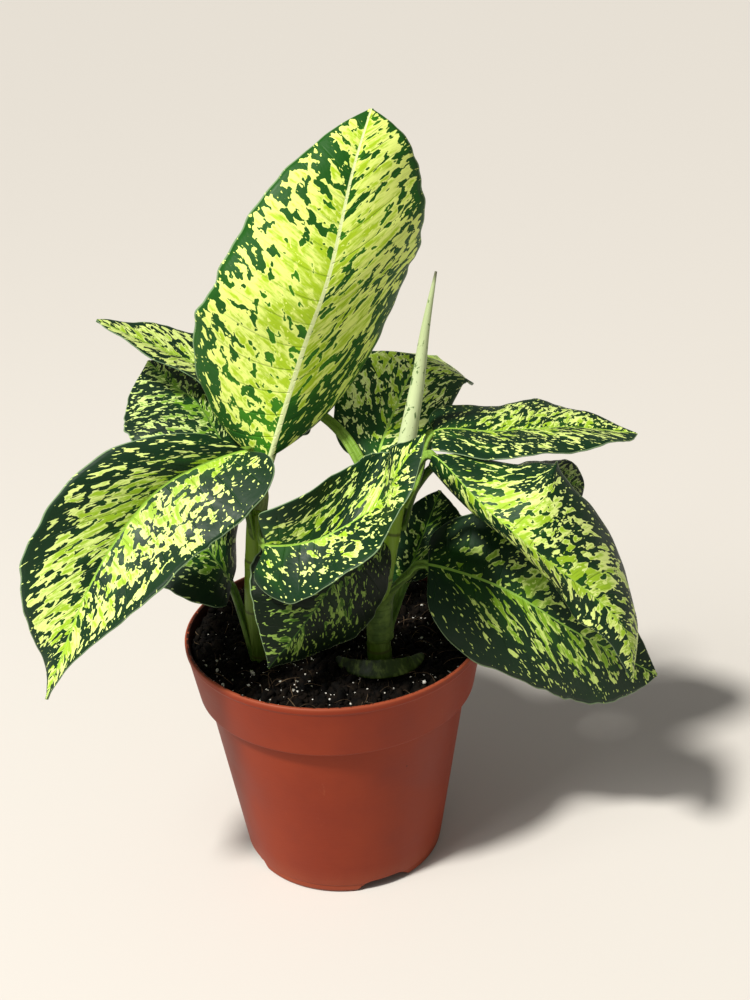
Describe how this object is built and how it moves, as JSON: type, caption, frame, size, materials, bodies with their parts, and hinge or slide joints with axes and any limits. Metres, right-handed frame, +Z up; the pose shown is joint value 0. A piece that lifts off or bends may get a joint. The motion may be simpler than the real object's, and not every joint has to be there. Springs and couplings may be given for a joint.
{
  "type": "potted dieffenbachia",
  "caption": "Small variegated dieffenbachia in a tapered round nursery pot: broad speckled leaves on bent petioles, upright canes and a spike of new leaf over dark peat.",
  "frame": {"origin": "middle of the pot's flat underside", "axes": "+Z up along the pot's axis; -Y is the side the picture was taken from, +X is its right"},
  "size_m": [0.2374, 0.1506, 0.3011],
  "materials": {
    "terracotta_plastic": "satin",
    "peat": "matte",
    "leaf_lime": "satin",
    "leaf_speckled": "satin",
    "leaf_dark": "satin",
    "stem": "satin",
    "new_leaf": "satin",
    "old_sheath": "matte"
  },
  "bodies": {
    "root": {"pot": "terracotta_plastic", "soil": "peat", "stem_left": "stem", "stem_right": "stem", "old_sheath": "old_sheath", "new_leaf": "new_leaf", "leaf_tall": "leaf_lime", "leaf_left_low": "leaf_speckled", "leaf_left_high": "leaf_speckled", "leaf_left_mid": "leaf_dark", "leaf_left_small": "leaf_dark", "leaf_centre": "leaf_speckled", "leaf_front": "leaf_dark", "leaf_back": "leaf_speckled", "leaf_right_flat": "leaf_speckled", "leaf_right_drooping": "leaf_speckled", "leaf_right_low": "leaf_speckled", "leaf_right_far": "leaf_dark", "leaf_inner": "leaf_dark"}
  },
  "joints": []
}
